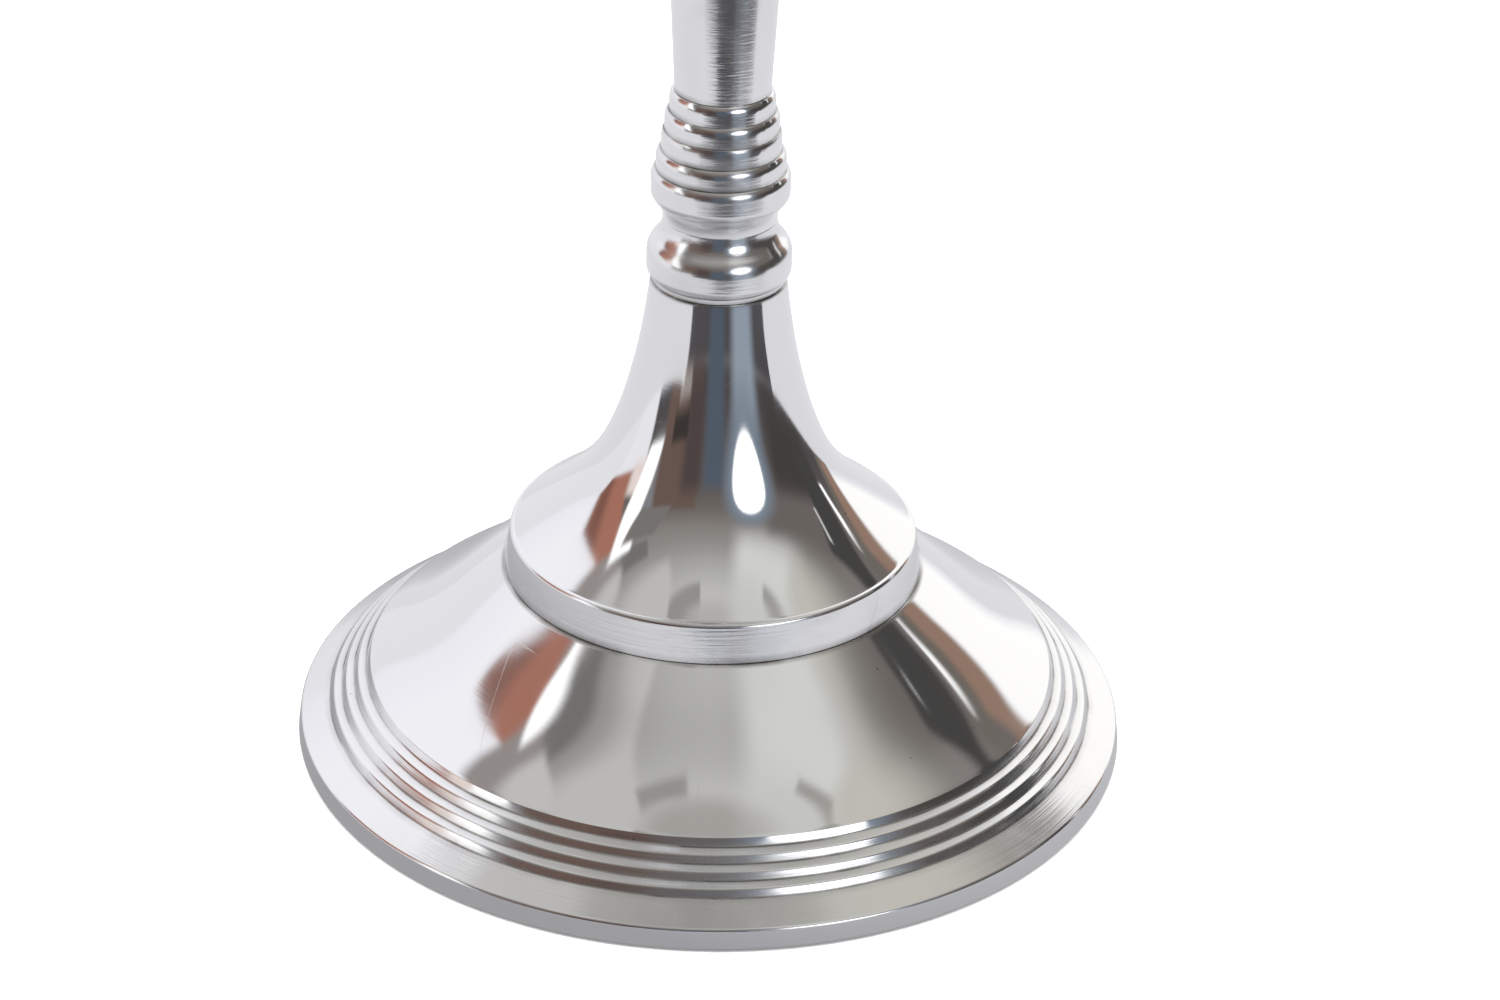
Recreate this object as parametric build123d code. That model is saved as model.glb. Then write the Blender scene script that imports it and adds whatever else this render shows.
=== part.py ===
"""Altar candlestick: turned cast-aluminium pieces stacked on one steel tie rod.

Millimetres, +Z up. The origin is on the axis of the stick, in the plane it stands on.
Every turned piece is an outline of (radius, height) points revolved about Z.
"""
from build123d import *
from math import asin, atan2, cos, pi, sin, tan
import os

# ---------------------------------------------------------------- driving dimensions
# Foot dish
rim_radius = 115.0          # outside of the rim where it meets the felt
rim_edge_height = 4.9       # upright edge of the rim
rim_edge_lean = 0.7         # how far the edge leans in over its height
rim_edge_round = 1.0        # rounding of the edge, top and bottom
rim_flat_run = 8.2          # sloping flat from the edge in to the steps
rim_flat_rise = 4.9
rim_sole_width = 13.0       # flat ring under the rim
step_count = 4
step_riser = 2.2
step_lean = 1.2
step_tread_run = 2.2
step_tread_rise = 0.8
dish_wall = 3.5
dish_flange_thickness = 4.0
dish_flange_bore = 40.0     # radius of the hole in the middle of the dish
seat_margin = 0.3           # the dish's cone ends this far outside the bell's band
bell_seat_height = 51.0     # where the bell stands on the dish, above the rim's sole

# Felt under the rim
felt_thickness = 1.0
felt_width = 10.0
felt_inset = 2.0            # from the rim's outer edge

# Bell
bell_band_radius = 57.3     # outside of the upright band, at its foot
bell_band_height = 9.8
bell_band_lean = 1.4
bell_lip_round = 1.3
bell_cone_run = 12.4        # straight cone from the lip up to the flare
bell_cone_rise = 10.2
bell_height = 86.2          # from the seat on the dish to the collar
bell_top_radius = 18.35
bell_wall = 4.0
bell_register_radius = 52.0  # step in the dish that centres the bell
bell_register_height = 3.0
bell_flare = ((0.68, 0.13), (0.41, 0.32), (0.20, 0.57), (0.07, 0.81))  # shares out, shares up

# Collar and ringed knop over the bell
collar_radius = 19.45
collar_side = 3.9           # upright part of a collar's bead
collar_round = 3.0          # its edge, next to the seat
collar_quirk = 0.9          # short upright neck between that edge and the seat
neck_radius = 15.3
cove_radius = 8.0
knop_rings = (14.0, 15.2, 15.95, 17.25, 18.55)  # from the shaft down; the last is the bulb
bulb_side = 4.0
ring_pitch = 5.55
ring_ledge = 0.35
ring_shoulder = 2.3         # height of a ring's round shoulder

# Shaft
shaft_foot_radius = 12.75
shaft_top_radius = 24.0
shaft_length = 208.5
shaft_hollow = 0.25         # how far the shaft's side curves in from a straight cone
shaft_wall = 3.6

# Head: ringed knop and collar, upside down over the shaft
head_rings = (25.2, 26.1, 26.9, 27.7)       # from the shaft up; the last is the bulb
head_neck_radius = 20.5
head_cove_radius = 10.0
head_collar_radius = 25.5

# Pan seat
seat_foot_radius = 24.2
seat_lip_radius = 43.0
seat_flare_height = 14.0
seat_band_height = 6.0
seat_band_lean = 1.0
seat_lip_round = 1.3
seat_hollow_out = 0.3       # the flare passes this share of the way out
seat_hollow_up = 0.66       # at this share of the way up

# Drip pan
pan_radius = 70.0
pan_flat_radius = 40.0      # flat middle that rests on the seat
pan_floor_rise = 3.5
pan_wall_radius = 8.0       # curve from the floor up into the wall
pan_height = 14.0
pan_thickness = 2.4
pan_clearance = 0.8         # between the pan's hole and the socket

# Candle socket and the loose nozzle in it
candle_radius = 20.0
candle_clearance = 0.3
nozzle_wall = 0.8
nozzle_depth = 29.0
nozzle_flange_thickness = 1.2
nozzle_clearance = 0.3
socket_height = 48.0
socket_wall = 2.0
socket_bead = 0.8           # how far the foot and lip beads stand proud
socket_bead_height = 4.0
socket_floor = 5.0

# Spigots that centre each piece in the next
spigot_radius = 11.0        # collars into the bell and the pan seat
neck_spigot_radius = 8.0    # knops into the collars
spigot_length = 5.0
spigot_clearance = 0.1
spigot_gap = 0.5            # left at the end of each spigot

# Tie rod, clamp plate and M8 fasteners
rod_radius = 4.0
rod_hole_clearance = 0.5
thread_clearance = 0.05
rod_end = 2.5               # rod standing out past each nut
nut_flats = 13.0
nut_height = 6.5
washer_radius = 8.0
washer_thickness = 1.6
wide_washer_radius = 12.0
wide_washer_thickness = 2.0
spring_washer_radius = 7.4
spring_washer_thickness = 2.0
spring_washer_gap = 1.5
clamp_plate_radius = 47.0
clamp_plate_thickness = 3.0
clamp_plate_boss = 1.5      # height of the boss that sits in the dish's hole

# ---------------------------------------------------------------- heights of the stack
eighth_turn = pi / 4
rod_hole = rod_radius + rod_hole_clearance
recess_depth = spigot_length + spigot_gap


def ogee_radii(neck, side):
    """Sum of the hollow and the round radius of an ogee of two eighth-circle arcs."""
    return (side - neck) / (1 - cos(eighth_turn))


def ogee_height(neck, side):
    return ogee_radii(neck, side) * sin(eighth_turn)


def knop_height(rings, neck):
    """Rings are listed from the shaft to the bulb, and the bulb is the last."""
    return (ring_pitch * (len(rings) - 1) + ring_shoulder + bulb_side
            + ogee_height(neck, rings[-1]))


def collar_height(neck, side):
    return ogee_height(neck, side) + collar_side + collar_round + collar_quirk


sole_z = felt_thickness
bell_z = sole_z + bell_seat_height
collar_z = bell_z + bell_height
neck_z = collar_z + collar_height(neck_radius, collar_radius)
shaft_z = neck_z + knop_height(knop_rings, neck_radius)
head_z = shaft_z + shaft_length
head_neck_z = head_z + knop_height(head_rings, head_neck_radius)
seat_z = head_neck_z + collar_height(head_neck_radius, head_collar_radius)
pan_z = seat_z + seat_flare_height + seat_band_height
socket_top_z = pan_z + socket_height

socket_bore = candle_radius + candle_clearance + nozzle_wall + nozzle_clearance
socket_radius = socket_bore + socket_wall
socket_bead_radius = socket_radius + socket_bead
plate_z = bell_z - dish_flange_thickness - clamp_plate_thickness
wide_washer_z = plate_z - wide_washer_thickness
spring_washer_z = wide_washer_z - spring_washer_thickness
foot_nut_z = spring_washer_z - nut_height
top_washer_z = pan_z + socket_floor
top_nut_z = top_washer_z + washer_thickness


# ---------------------------------------------------------------- outline helpers
def turned(start, *steps):
    """Revolve a closed outline about Z.

    A step is a point (straight line to it), a pair of points (an arc through the
    first that ends at the second) or a list of points (a smooth curve through them).
    """
    edges = []
    here = start
    for step in steps + (start,):
        if isinstance(step, list):
            edges.append(Spline(here, *step))
            here = step[-1]
        elif isinstance(step[0], tuple):
            edges.append(ThreePointArc(here, *step))
            here = step[-1]
        else:
            edges.append(Line(here, step))
            here = step
    return revolve(Plane.XZ * make_face(edges), Axis.Z)


def ring(radius, bottom, top, bore):
    """A plain ring with square edges."""
    return turned((bore, bottom), (radius, bottom), (radius, top), (bore, top))


def arc(centre, radius, start_angle, end_angle):
    """An arc step about a centre: its middle point and its end."""
    middle_angle = (start_angle + end_angle) / 2
    return tuple((centre[0] + radius * cos(angle), centre[1] + radius * sin(angle))
                 for angle in (middle_angle, end_angle))


# In the steps below, way is 1 where the outline climbs and -1 where it comes down.
def ogee_out(neck, side, cove, z, way):
    """From a neck at height z out to an upright side: a hollow arc, then a round one."""
    bead = ogee_radii(neck, side) - cove
    side_z = z + way * ogee_height(neck, side)
    return [arc((neck + cove, z), cove, pi, pi - way * eighth_turn),
            arc((side - bead, side_z), bead, -way * eighth_turn, 0)]


def ogee_in(neck, side, cove, z, way):
    """From an upright side at height z in to a neck: a round arc, then a hollow one."""
    bead = ogee_radii(neck, side) - cove
    neck_height = z + way * ogee_height(neck, side)
    return [arc((side - bead, z), bead, 0, way * eighth_turn),
            arc((neck + cove, neck_height), cove, pi + way * eighth_turn, pi)]


def ring_steps(inner, rings, z, way):
    """Over the turned rings beside a shaft: each has a small ledge, a round shoulder
    and an upright side, and stands a little further out than the one before it."""
    steps = []
    for radius in rings:
        proud = radius - inner - ring_ledge
        round_radius = (proud ** 2 + ring_shoulder ** 2) / (2 * proud)
        round_angle = -way * asin(ring_shoulder / round_radius)
        side_z = z + way * ring_shoulder
        upright = bulb_side if radius == rings[-1] else ring_pitch - ring_shoulder
        steps += [(radius - proud, z),
                  arc((radius - round_radius, side_z), round_radius, round_angle, 0),
                  (radius, side_z + way * upright)]
        inner = radius
        z += way * ring_pitch
    return steps


def knop(shaft_radius, rings, neck, cove, z, way):
    """Solid turned knop from the shaft's end at height z to the neck beyond it, with a
    spigot into the shaft and one into the collar."""
    shaft_spigot = shaft_radius - shaft_wall - spigot_clearance
    steps = ring_steps(shaft_radius, rings, z, way)
    steps += ogee_in(neck, rings[-1], cove, steps[-1][1], way)
    neck_height = z + way * knop_height(rings, neck)
    spigot_end = neck_height + way * spigot_length
    shaft_spigot_end = z - way * spigot_length
    return turned((rod_hole, shaft_spigot_end), (shaft_spigot, shaft_spigot_end),
                  (shaft_spigot, z), (shaft_radius, z), *steps,
                  (neck_spigot_radius, neck_height), (neck_spigot_radius, spigot_end),
                  (rod_hole, spigot_end))


def collar(neck, side, cove, z, way):
    """Solid turned bead from a neck at height z to the seat beyond it, with a recess for
    the knop's spigot and a spigot of its own."""
    side_end = z + way * (ogee_height(neck, side) + collar_side)
    under = arc((side - collar_round, side_end), collar_round, 0, way * pi / 3)
    seat = side_end + way * (collar_round + collar_quirk)
    recess = neck_spigot_radius + spigot_clearance
    recess_end = z + way * recess_depth
    spigot_end = seat + way * spigot_length
    return turned((rod_hole, recess_end), (recess, recess_end), (recess, z), (neck, z),
                  *ogee_out(neck, side, cove, z, way), (side, side_end), under,
                  (under[-1][0], seat), (spigot_radius, seat), (spigot_radius, spigot_end),
                  (rod_hole, spigot_end))


# ---------------------------------------------------------------- the foot
def foot_dish():
    """Cast shell with a stepped rim, a straight cone and a flange that carries the bell."""
    edge_z = sole_z + rim_edge_height
    edge_radius = rim_radius - rim_edge_lean
    steps = [(rim_radius - rim_edge_round / 2, sole_z), (rim_radius, sole_z + rim_edge_round / 2),
             (edge_radius, edge_z - rim_edge_round / 2),
             (edge_radius - rim_edge_round, edge_z + rim_edge_round / 2),
             (edge_radius - rim_flat_run, edge_z + rim_flat_rise)]
    for _ in range(step_count):
        r, z = steps[-1]
        riser_top = (r - step_lean, z + step_riser)
        tread_end = (riser_top[0] - step_tread_run, riser_top[1] + step_tread_rise)
        steps += [riser_top, tread_end]
    cone_foot = steps[-2]
    cone_top = (bell_band_radius + seat_margin, bell_z)
    slope = atan2(cone_top[1] - cone_foot[1], cone_foot[0] - cone_top[0])
    flange_z = bell_z - dish_flange_thickness
    sole_inner = rim_radius - rim_sole_width
    register_bore = bell_register_radius - dish_wall
    inner_cone_foot = (cone_foot[0] - dish_wall * sin(slope), cone_foot[1] - dish_wall * cos(slope))
    climb = flange_z - inner_cone_foot[1]
    inner_cone_top = (inner_cone_foot[0] - climb / tan(slope), flange_z)
    return turned((sole_inner, sole_z), *steps[:-1], cone_top, (bell_register_radius, bell_z),
                  (bell_register_radius, bell_z + bell_register_height),
                  (register_bore, bell_z + bell_register_height), (register_bore, bell_z),
                  (dish_flange_bore, bell_z), (dish_flange_bore, flange_z),
                  inner_cone_top, inner_cone_foot, (sole_inner, edge_z + step_riser))


def felt_ring():
    outer = rim_radius - felt_inset
    return ring(outer, 0, felt_thickness, outer - felt_width)


def foot_bell():
    """Hollow trumpet with an upright band at its foot, a round lip and a straight cone
    that turns up into the flare."""
    band_top = bell_band_radius - bell_band_lean
    band_top_z = bell_z + bell_band_height
    lip = (band_top - bell_lip_round, band_top_z + bell_lip_round)
    cone_top = (lip[0] - bell_cone_run, lip[1] + bell_cone_rise)
    flare = [(bell_top_radius + out * (cone_top[0] - bell_top_radius),
              cone_top[1] + up * (collar_z - cone_top[1])) for out, up in bell_flare]
    inner = [(r - bell_wall, z - bell_wall / 2) for r, z in [cone_top] + flare[:-1]]
    recess = spigot_radius + spigot_clearance
    recess_z = collar_z - recess_depth
    register = bell_register_radius + spigot_clearance
    return turned((register, bell_z), (bell_band_radius, bell_z), (band_top, band_top_z),
                  arc((lip[0], band_top_z), bell_lip_round, 0, pi / 2), cone_top,
                  flare + [(bell_top_radius, collar_z)],
                  (recess, collar_z), (recess, recess_z), (rod_hole, recess_z),
                  (rod_hole, recess_z - bell_wall), (recess, recess_z - bell_wall),
                  inner[::-1], (register, lip[1] - bell_wall))


# ---------------------------------------------------------------- the shaft and the head
def stem_shaft():
    """Long tube that widens upward with a slightly hollow side."""
    middle = ((shaft_foot_radius + shaft_top_radius) / 2 - shaft_hollow, shaft_z + shaft_length / 2)
    foot_bore = shaft_foot_radius - shaft_wall
    top_bore = shaft_top_radius - shaft_wall
    return turned((foot_bore, shaft_z), (shaft_foot_radius, shaft_z),
                  (middle, (shaft_top_radius, head_z)), (top_bore, head_z),
                  (top_bore, head_z - recess_depth), (foot_bore, shaft_z + recess_depth))


def pan_seat():
    """Turned cup that flares out under the pan, with a recess for the collar's spigot."""
    lip_z = seat_z + seat_flare_height
    flare_end = seat_lip_radius - seat_lip_round
    hollow = (seat_foot_radius + seat_hollow_out * (flare_end - seat_foot_radius),
              seat_z + seat_hollow_up * seat_flare_height)
    recess = spigot_radius + spigot_clearance
    return turned((recess, seat_z), (seat_foot_radius, seat_z), (hollow, (flare_end, lip_z)),
                  arc((flare_end, lip_z + seat_lip_round), seat_lip_round, -pi / 2, 0),
                  (seat_lip_radius - seat_band_lean, pan_z), (rod_hole, pan_z),
                  (rod_hole, seat_z + recess_depth), (recess, seat_z + recess_depth))


def drip_pan():
    """Spun dish that rests on the seat and lifts off over the socket."""
    hole = socket_bead_radius + pan_clearance
    wall_foot = pan_radius - pan_wall_radius
    floor_z = pan_z + pan_floor_rise
    under_centre = (wall_foot, floor_z + pan_wall_radius)
    rim_z = pan_z + pan_height
    inner_radius = pan_wall_radius - pan_thickness
    return turned((hole, pan_z), (pan_flat_radius, pan_z), (wall_foot, floor_z),
                  arc(under_centre, pan_wall_radius, -pi / 2, 0), (pan_radius, rim_z),
                  ((pan_radius - pan_thickness / 2, rim_z + pan_thickness / 2),
                   (pan_radius - pan_thickness, rim_z)),
                  (pan_radius - pan_thickness, under_centre[1]),
                  arc(under_centre, inner_radius, 0, -pi / 2),
                  (pan_flat_radius, pan_z + pan_thickness), (hole, pan_z + pan_thickness))


def bead_steps(z, thickness):
    """Over a half-round bead on the socket's outside, from height z up."""
    return [(socket_radius, z),
            ((socket_bead_radius, z + thickness / 2), (socket_radius, z + thickness))]


def candle_socket():
    """Cup that the tie rod's top nut holds down, with a bead round its foot and its lip."""
    lip_z = socket_top_z - socket_bead_height
    return turned((rod_hole, pan_z), *bead_steps(pan_z, socket_bead_height),
                  *bead_steps(lip_z, socket_bead_height), (socket_bore, socket_top_z),
                  (socket_bore, top_washer_z), (rod_hole, top_washer_z))


def candle_nozzle():
    """Thin cup that holds the candle, loose in the socket, hung on its flange."""
    bore = candle_radius + candle_clearance
    outside = bore + nozzle_wall
    flange_top = socket_top_z + nozzle_flange_thickness
    floor_z = flange_top - nozzle_depth
    flange_radius = socket_bead_radius
    return turned((0, floor_z), (bore, floor_z), (bore, flange_top), (flange_radius, flange_top),
                  (flange_radius, socket_top_z), (outside, socket_top_z),
                  (outside, floor_z - nozzle_wall), (0, floor_z - nozzle_wall))


# ---------------------------------------------------------------- the rod and its fasteners
def tie_rod():
    bottom = foot_nut_z - rod_end
    top = top_nut_z + nut_height + rod_end
    return turned((0, bottom), (rod_radius, bottom), (rod_radius, top), (0, top))


def clamp_plate():
    """Steel disc under the dish's flange, with a boss that centres it in the hole."""
    boss = dish_flange_bore - spigot_clearance
    flange_z = plate_z + clamp_plate_thickness
    boss_z = flange_z + clamp_plate_boss
    return turned((rod_hole, plate_z), (clamp_plate_radius, plate_z), (clamp_plate_radius, flange_z),
                  (boss, flange_z), (boss, boss_z), (rod_hole, boss_z))


def hex_nut(z):
    """Hexagon nut with both rims turned down to a cone."""
    corner = nut_flats / 2 / cos(pi / 6)
    turn_down = corner - nut_flats / 2
    slope = turn_down / 2
    blank = extrude(Pos(0, 0, z) * RegularPolygon(corner, 6), nut_height)
    cones = turned((rod_radius + thread_clearance, z), (corner - turn_down, z), (corner, z + slope),
                   (corner, z + nut_height - slope), (corner - turn_down, z + nut_height),
                   (rod_radius + thread_clearance, z + nut_height))
    return blank & cones


def spring_washer():
    """Split ring, closed flat by the nut."""
    washer = ring(spring_washer_radius, spring_washer_z, wide_washer_z, rod_hole)
    cut = Box(spring_washer_radius, spring_washer_gap, spring_washer_thickness * 3)
    return washer - Pos(spring_washer_radius, 0, spring_washer_z) * cut


pieces = {
    "felt_ring": felt_ring(),
    "foot_dish": foot_dish(),
    "clamp_plate": clamp_plate(),
    "wide_washer": ring(wide_washer_radius, wide_washer_z, plate_z, rod_hole),
    "spring_washer": spring_washer(),
    "foot_nut": hex_nut(foot_nut_z),
    "tie_rod": tie_rod(),
    "foot_bell": foot_bell(),
    "lower_collar": collar(neck_radius, collar_radius, cove_radius, neck_z, -1),
    "lower_knop": knop(shaft_foot_radius, knop_rings, neck_radius, cove_radius, shaft_z, -1),
    "stem_shaft": stem_shaft(),
    "head_knop": knop(shaft_top_radius, head_rings, head_neck_radius, head_cove_radius, head_z, 1),
    "head_collar": collar(head_neck_radius, head_collar_radius, head_cove_radius, head_neck_z, 1),
    "pan_seat": pan_seat(),
    "drip_pan": drip_pan(),
    "candle_socket": candle_socket(),
    "top_washer": ring(washer_radius, top_washer_z, top_nut_z, rod_hole),
    "top_nut": hex_nut(top_nut_z),
    "candle_nozzle": candle_nozzle(),
}

os.makedirs("parts", exist_ok=True)
for name, shape in pieces.items():
    export_step(shape, f"parts/{name}.step")
    box = shape.bounding_box()
    print(f"{name}: radius {box.max.X:.2f}, height {box.min.Z:.2f} to {box.max.Z:.2f}")
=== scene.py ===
# %% [markdown]
# # An altar candlestick in turned aluminium
#
# The stick is a stack of castings that were turned on a lathe, buffed bright and pulled together by one steel
# rod. The engineering model already holds every size and every joint. This file only gives that model its
# looks: finer turned surfaces, metal finishes, light, a floor and a camera. Lengths are in millimetres until
# the moment they go into a mesh, because that is how a turner thinks. Blender itself works in metres.

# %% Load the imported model
from math import asin, atan2, cos, pi, radians, sin

import bmesh
import bpy
import numpy as np
from mathutils import Matrix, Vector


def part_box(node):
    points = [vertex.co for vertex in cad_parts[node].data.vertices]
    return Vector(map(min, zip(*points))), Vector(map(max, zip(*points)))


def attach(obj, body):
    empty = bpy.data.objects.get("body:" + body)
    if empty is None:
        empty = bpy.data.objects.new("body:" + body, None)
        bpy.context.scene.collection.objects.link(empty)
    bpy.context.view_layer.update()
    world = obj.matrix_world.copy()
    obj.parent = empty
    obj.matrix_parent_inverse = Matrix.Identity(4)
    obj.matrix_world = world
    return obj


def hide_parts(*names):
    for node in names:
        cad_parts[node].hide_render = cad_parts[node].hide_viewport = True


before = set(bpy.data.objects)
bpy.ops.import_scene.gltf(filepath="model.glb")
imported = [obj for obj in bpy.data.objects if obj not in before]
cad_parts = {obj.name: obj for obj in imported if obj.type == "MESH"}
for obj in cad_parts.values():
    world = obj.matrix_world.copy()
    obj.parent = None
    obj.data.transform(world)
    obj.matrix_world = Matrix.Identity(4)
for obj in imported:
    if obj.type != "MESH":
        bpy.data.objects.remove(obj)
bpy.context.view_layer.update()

MM = 0.001
print("CAD nodes:", ", ".join(sorted(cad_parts)))

# %% [markdown]
# ## Reading the stack of heights
#
# Each casting stands on the one below it, so a single height per joint places everything. The heights and the
# outer radii are read from the CAD nodes' boxes. A second list of numbers could drift away from the model.

# %% Heights of the joints and outer radii
def bottom(name):
    """Lowest height of a CAD node, in mm."""
    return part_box(name)[0].z / MM


def top(name):
    """Highest height of a CAD node, in mm."""
    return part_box(name)[1].z / MM


def radius(name):
    """Outer radius of a CAD node, in mm."""
    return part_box(name)[1].y / MM


sole_z = top("felt_ring")
bell_z = bottom("foot_bell")
collar_z = top("foot_bell")
neck_z = top("lower_collar")
shaft_z = bottom("stem_shaft")
head_z = top("stem_shaft")
head_neck_z = bottom("head_collar")
seat_z = bottom("pan_seat")
pan_z = top("pan_seat")
socket_z = top("candle_socket")
nozzle_z = top("candle_nozzle")
joint_heights = (sole_z, bell_z, collar_z, neck_z, shaft_z, head_z, seat_z, pan_z)
print("joint heights, mm:", [round(z, 1) for z in joint_heights])

# %% [markdown]
# ## Turning a profile
#
# Everything here comes off a lathe, so every piece is one outline carried round the axis. Blender's Screw or
# Spin could do that, but a polished metal shows the smallest error in its normals, and those tools space their
# rings wherever the outline has points. Working the surface out with numpy keeps the points where a mirror
# needs them: close together round each edge, and one pair right beside each flat. The flats then shade flat.
#
# An outline is an array with one row per point. Its columns are radius, height, tool marks (0 buffed away, 1
# as the lathe left them) and raw (1 where the casting was never machined). The last two ride along with the
# points, and the materials read them as attributes.

# %% Outline helpers
BUFFED = (0.0, 0.0)
TURNED = (1.0, 0.0)
RAW = (0.0, 1.0)
ARC_STEP = radians(6)
EIGHTH_TURN = pi / 4


def run(points, finish):
    """Gives a list of (radius, height) points the two finish columns."""
    points = np.asarray(points, float).reshape(-1, 2)
    return np.hstack([points, np.tile(finish, (len(points), 1))])


def arc(centre, size, start, end):
    """Points of a circle: centre + size * (cos a, sin a), with a from start to end in even steps."""
    a = np.linspace(start, end, max(3, int(abs(end - start) / ARC_STEP) + 2))[:, None]
    return np.array(centre) + size * np.hstack([np.cos(a), np.sin(a)])


def smooth_curve(points, count):
    """A natural cubic spline through the points, with the chord length as its parameter.

    The second derivatives m solve one row per inner point, h0 m0 + 2 (h0 + h1) m1 + h1 m2 = 6 (slope1 - slope0),
    and are zero at both ends.
    """
    points = np.asarray(points, float)
    h = np.hypot(*np.diff(points, axis=0).T)
    knots = np.concatenate([[0], np.cumsum(h)])
    slope = np.diff(points, axis=0) / h[:, None]
    rows = np.eye(len(points))
    rows[1:-1] = 0
    inner = np.arange(1, len(points) - 1)
    rows[inner, inner - 1], rows[inner, inner], rows[inner, inner + 1] = h[:-1], 2 * (h[:-1] + h[1:]), h[1:]
    right = np.zeros_like(points)
    right[1:-1] = 6 * np.diff(slope, axis=0)
    m = np.linalg.solve(rows, right)
    s = np.linspace(0, knots[-1], count)
    i = np.clip(np.searchsorted(knots, s, side="right") - 1, 0, len(h) - 1)
    a, b, g = (knots[i + 1] - s)[:, None], (s - knots[i])[:, None], h[i][:, None]
    return ((m[i] * a**3 + m[i + 1] * b**3) / (6 * g)
            + (points[i] / g - m[i] * g / 6) * a + (points[i + 1] / g - m[i + 1] * g / 6) * b)


# %% [markdown]
# A buffing wheel takes the sharpness off every edge. So each hard corner of an outline becomes a small bend
# before it is turned. A Bevel modifier could do this on the mesh, but it would also cut up the fine rings of
# the mirror. Rounding the outline costs nothing and keeps the rings clean.

# %% Soften the corners, and guard the flats
EDGE_WEAR = 0.3         # mm, rounding that buffing leaves on an edge
BEND_POINTS = 6
HARD_CORNER = radians(14)
GUARD = 0.08            # mm, distance of the points that keep a flat flat
SHORTEST_FLAT = 1.6     # mm, so the close points of a curve are left as they are
LONGEST_RUN = 2.0       # mm between points where the painted shade and residue fade out from a corner


def softened(outline, size=EDGE_WEAR):
    """Replaces each hard corner p by the curve (1-s)^2 (p + a t) + 2 s (1-s) p + s^2 (p + b t), s from 0 to 1.

    a and b are the ways back to the last point and on to the next, and t is the length the bend takes of each.
    size is one rounding for all corners, or an array with one for each point.
    """
    p = outline
    back, on = np.roll(p, 1, 0) - p, np.roll(p, -1, 0) - p
    back_length, on_length = np.hypot(*back[:, :2].T), np.hypot(*on[:, :2].T)
    a, b = back / back_length[:, None], on / on_length[:, None]
    turn = np.pi - np.arccos(np.clip((a[:, :2] * b[:, :2]).sum(1), -1, 1))
    hard = turn > HARD_CORNER
    t = np.minimum(size * np.tan(turn / 2), 0.42 * np.minimum(back_length, on_length)) * hard
    t = t[:, None, None]
    s = np.linspace(0, 1, BEND_POINTS)[None, :, None]
    p, a, b = p[:, None], a[:, None], b[:, None]
    bend = (1 - s) ** 2 * (p + a * t) + 2 * s * (1 - s) * p + s**2 * (p + b * t)
    keep = hard[:, None] | (np.arange(BEND_POINTS) == 0)
    return bend[keep]


def guarded(outline):
    """Adds a point GUARD away from both ends of every long flat, so that its shading can't bend."""
    ahead = np.roll(outline, -1, 0) - outline
    length = np.hypot(*ahead[:, :2].T)
    share = (GUARD / np.maximum(length, GUARD))[:, None]
    rows = np.stack([outline, outline + ahead * share, outline + ahead * (1 - share)], 1)
    keep = np.ones((len(outline), 3), bool)
    keep[length < SHORTEST_FLAT, 1:] = False
    return rows[keep]


def divided(outline, longest=LONGEST_RUN):
    """Splits each machined run into equal parts no longer than this, so what fades along it fades smoothly."""
    ahead = np.roll(outline, -1, 0) - outline
    length = np.hypot(*ahead[:, :2].T) * (outline[:, 3] == 0)
    parts = np.maximum(1, np.ceil(length / longest).astype(int))
    row = np.repeat(np.arange(len(outline)), parts)
    part = np.arange(parts.sum()) - np.repeat(np.cumsum(parts) - parts, parts)
    return outline[row] + ahead[row] * (part / parts[row])[:, None]


# %% [markdown]
# The turning itself is two parameters: the place along the outline and the angle round the axis. All points
# come from one array product. The outline is closed, and it runs so that the metal is on its left, so every
# face looks outward.

# %% Carry an outline round the axis
SEGMENTS = 288
pieces = {}


def shade_and_residue(outline, joints, reach):
    """Painted shade and polishing residue in the joints and inner corners: the largest of exp(-(d / reach)^2),
    with d the distance to each of them in mm.
    """
    if not joints:
        return np.zeros(len(outline))
    d = np.linalg.norm(outline[:, None, :2] - np.array(joints, float)[None], axis=2)
    return np.exp(-((d / reach) ** 2)).max(1)


def turn(name, outline, body, slot, joints=(), reach=0.5, segments=SEGMENTS, wobble=None):
    """Surface of revolution: (r cos a, r sin a, z), with a over a full turn and (r, z) along the closed outline.

    wobble, if there is one, is a function of (angle, radius, height) that gives a change of radius in mm.
    """
    r, z = outline[:, 0], outline[:, 1]
    area = np.dot(r, np.roll(z, -1)) - np.dot(z, np.roll(r, -1))
    if area < 0:
        outline = outline[::-1]
    if joints:
        outline = divided(outline)
    a = np.linspace(0, 2 * pi, segments, endpoint=False)[:, None]
    r, z = outline[None, :, 0], outline[None, :, 1]
    if wobble is not None:
        r = r + wobble(a, r, z)
    points = np.stack([r * np.cos(a), r * np.sin(a), z + 0 * a], -1).reshape(-1, 3) * MM
    rows = len(outline)
    i, j = np.meshgrid(np.arange(segments), np.arange(rows), indexing="ij")
    i1, j1 = (i + 1) % segments, (j + 1) % rows
    quads = np.stack([i * rows + j, i1 * rows + j, i1 * rows + j1, i * rows + j1], -1).reshape(-1, 4)
    mesh = mesh_of(name, points, quads)
    # The third column darkens the joints and inner corners: painted shade, with polishing residue.
    columns = {"tool_marks": outline[:, 2], "raw": outline[:, 3], "shade_and_residue": shade_and_residue(outline, joints, reach)}
    for key, column in columns.items():
        values = np.tile(column, segments).astype(np.float32)
        mesh.attributes.new(key, "FLOAT", "POINT").data.foreach_set("value", values)
    if outline[:, 0].min() == 0:
        close_poles(mesh)
    return placed(name, mesh, body)


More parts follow.
